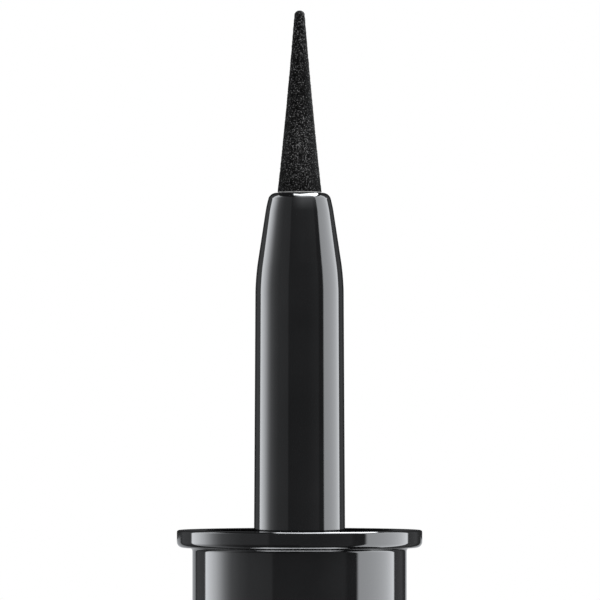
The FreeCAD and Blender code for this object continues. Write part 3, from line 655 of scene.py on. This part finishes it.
# Bank overhead, narrower towards the back
rise = addNode(tree, "ShaderNodeMath", {0: parts["Z"], 1: studio["leastSlope"]},
               operation="MAXIMUM").outputs["Value"]
across = addNode(tree, "ShaderNodeMath", {0: parts["X"], 1: rise}, operation="DIVIDE").outputs["Value"]
behind = addNode(tree, "ShaderNodeMath", {0: parts["Y"], 1: rise}, operation="DIVIDE").outputs["Value"]
middleLine = addNode(tree, "ShaderNodeMath", {0: behind, 1: studio["bankAside"], 2: studio["bankMiddle"]},
                     operation="MULTIPLY_ADD").outputs["Value"]
halfWidth = addNode(tree, "ShaderNodeMath", {0: behind, 1: studio["bankTaper"], 2: studio["bankHalf"]},
                    operation="MULTIPLY_ADD").outputs["Value"]
offMiddle = addNode(tree, "ShaderNodeMath", {0: across, 1: middleLine}, operation="SUBTRACT").outputs["Value"]
toSide = addNode(tree, "ShaderNodeMath", {0: offMiddle}, operation="ABSOLUTE").outputs["Value"]
sideShare = addNode(tree, "ShaderNodeMath", {0: toSide, 1: halfWidth}, operation="DIVIDE").outputs["Value"]
inWidth = addNode(tree, "ShaderNodeMapRange", {
    "Value": sideShare, "From Min": 1 + studio["bankSoft"], "From Max": 1 - studio["bankSoft"]},
    interpolation_type="SMOOTHSTEP").outputs["Result"]
inDepth = addNode(tree, "ShaderNodeMath", {
    0: behind, 1: (studio["bankFront"] + studio["bankBack"]) / 2,
    2: (studio["bankBack"] - studio["bankFront"]) / 2}, operation="COMPARE").outputs["Value"]
bank = addNode(tree, "ShaderNodeMath", {0: inWidth, 1: inDepth}, operation="MULTIPLY").outputs["Value"]
overhead = addNode(tree, "ShaderNodeMath", {0: bank, 1: glow}, operation="MAXIMUM").outputs["Value"]
topAndSides = addNode(tree, "ShaderNodeMath", {0: overhead, 1: studio["bankLevel"], 2: sideLevel},
                      operation="MULTIPLY_ADD").outputs["Value"]

# Pale card low behind the pen
fromBack = addNode(tree, "ShaderNodeMath", {0: parts["X"], 1: parts["Y"]},
                   operation="ARCTAN2").outputs["Value"]
beside = addNode(tree, "ShaderNodeMath", {
    0: fromBack, 1: math.radians(studio["cardLeft"] + studio["cardRight"]) / 2,
    2: math.radians(studio["cardRight"] - studio["cardLeft"]) / 2}, operation="COMPARE").outputs["Value"]
under = addNode(tree, "ShaderNodeMath", {0: parts["Z"], 1: math.sin(math.radians(studio["cardTop"]))},
                operation="LESS_THAN").outputs["Value"]
card = addNode(tree, "ShaderNodeMath", {0: beside, 1: under}, operation="MULTIPLY").outputs["Value"]
withCard = addNode(tree, "ShaderNodeMath", {0: card, 1: studio["cardLevel"], 2: topAndSides},
                   operation="MULTIPLY_ADD").outputs["Value"]

# Panel straight below
fall = addNode(tree, "ShaderNodeMath", {0: parts["Z"], 1: -studio["leastSlope"]},
               operation="MINIMUM").outputs["Value"]
panelAcross = addNode(tree, "ShaderNodeMath", {0: parts["X"], 1: fall}, operation="DIVIDE").outputs["Value"]
panelAlong = addNode(tree, "ShaderNodeMath", {0: parts["Y"], 1: fall}, operation="DIVIDE").outputs["Value"]
inPanelWidth = addNode(tree, "ShaderNodeMath", {0: panelAcross, 1: 0.0, 2: studio["panelHalf"]},
                       operation="COMPARE").outputs["Value"]
inPanelDepth = addNode(tree, "ShaderNodeMath", {
    0: panelAlong, 1: studio["panelMiddle"], 2: studio["panelDepth"]}, operation="COMPARE").outputs["Value"]
panel = addNode(tree, "ShaderNodeMath", {0: inPanelWidth, 1: inPanelDepth},
                operation="MULTIPLY").outputs["Value"]
gloss = addNode(tree, "ShaderNodeMath", {0: panel, 1: studio["panelLevel"], 2: withCard},
                operation="MULTIPLY_ADD").outputs["Value"]

# What each kind of ray sees; the soft boxes are a little cooler than the background
path = addNode(tree, "ShaderNodeLightPath").outputs
lit = addNode(tree, "ShaderNodeMix", {
    "Factor": path["Is Glossy Ray"], "A": studio["ambient"], "B": gloss}).outputs["Result"]
clear = addNode(tree, "ShaderNodeMath", {0: path["Is Camera Ray"], 1: path["Is Transmission Ray"]},
                operation="MAXIMUM").outputs["Value"]
level = addNode(tree, "ShaderNodeMix", {"Factor": clear, "A": lit, "B": 1.0}).outputs["Result"]
tint = addNode(tree, "ShaderNodeMix", {
    "Factor": path["Is Glossy Ray"], 6: toLinear("#ffffff"), 7: toLinear(studio["boxTint"])},
    data_type="RGBA").outputs[2]
backdrop = addNode(tree, "ShaderNodeBackground", {"Color": tint, "Strength": level})
addNode(tree, "ShaderNodeOutputWorld", {"Surface": backdrop.outputs["Background"]})
print("studio made")

# Soft lamps for the matt surfaces and the floor's shadow, aimed at the barrel; gloss doesn't see them
lamps = dict(
    left=dict(place=(-450, -500, 550), side=500, watts=1.7),
    right=dict(place=(500, -350, 500), side=500, watts=2.8),
    top=dict(place=(50, 100, 800), side=600, watts=2.6))
lampAim = Vector((0, 0, 90)) * mm
for name, values in lamps.items():
    lamp = bpy.data.lights.new(name + "Lamp", "AREA")
    lamp.size = values["side"] * mm
    lamp.energy = values["watts"]
    holder = bpy.data.objects.new(name + "Lamp", lamp)
    holder.location = Vector(values["place"]) * mm
    holder.rotation_euler = (lampAim - holder.location).to_track_quat("-Z", "Y").to_euler()
    holder.visible_camera = False
    holder.visible_glossy = False
    scene.collection.objects.link(holder)
print("lamps made:", len(lamps))

# Camera: level with the middle of the neck, so it sees the nose a little from below and the flange from
# above; the frame is 600 pixels of 1/21 mm
shot = dict(away=300.0, nearest=50.0, belowNose=10.3, pixels=600, perMm=21.0, pointRow=10.2,
            axisColumn=299.55, sensor=36.0)
frameWidth = shot["pixels"] / shot["perMm"]
aimHeight = feltPoint - (shot["pixels"] / 2 - shot["pointRow"]) / shot["perMm"]
aside = (shot["pixels"] / 2 - shot["axisColumn"]) / shot["perMm"]
cameraAim = Vector((aside, 0, aimHeight)) * mm
cameraData = bpy.data.cameras.new("photoCamera")
cameraData.sensor_width = shot["sensor"]
cameraData.lens = shot["sensor"] * shot["away"] / frameWidth
cameraData.clip_start = shot["nearest"] * mm
camera = bpy.data.objects.new("photoCamera", cameraData)
camera.location = Vector((aside, -shot["away"], noseFace - shot["belowNose"])) * mm
camera.rotation_euler = (cameraAim - camera.location).to_track_quat("-Z", "Y").to_euler()
scene.collection.objects.link(camera)
scene.camera = camera
print("camera set: lens", round(cameraData.lens), "mm")
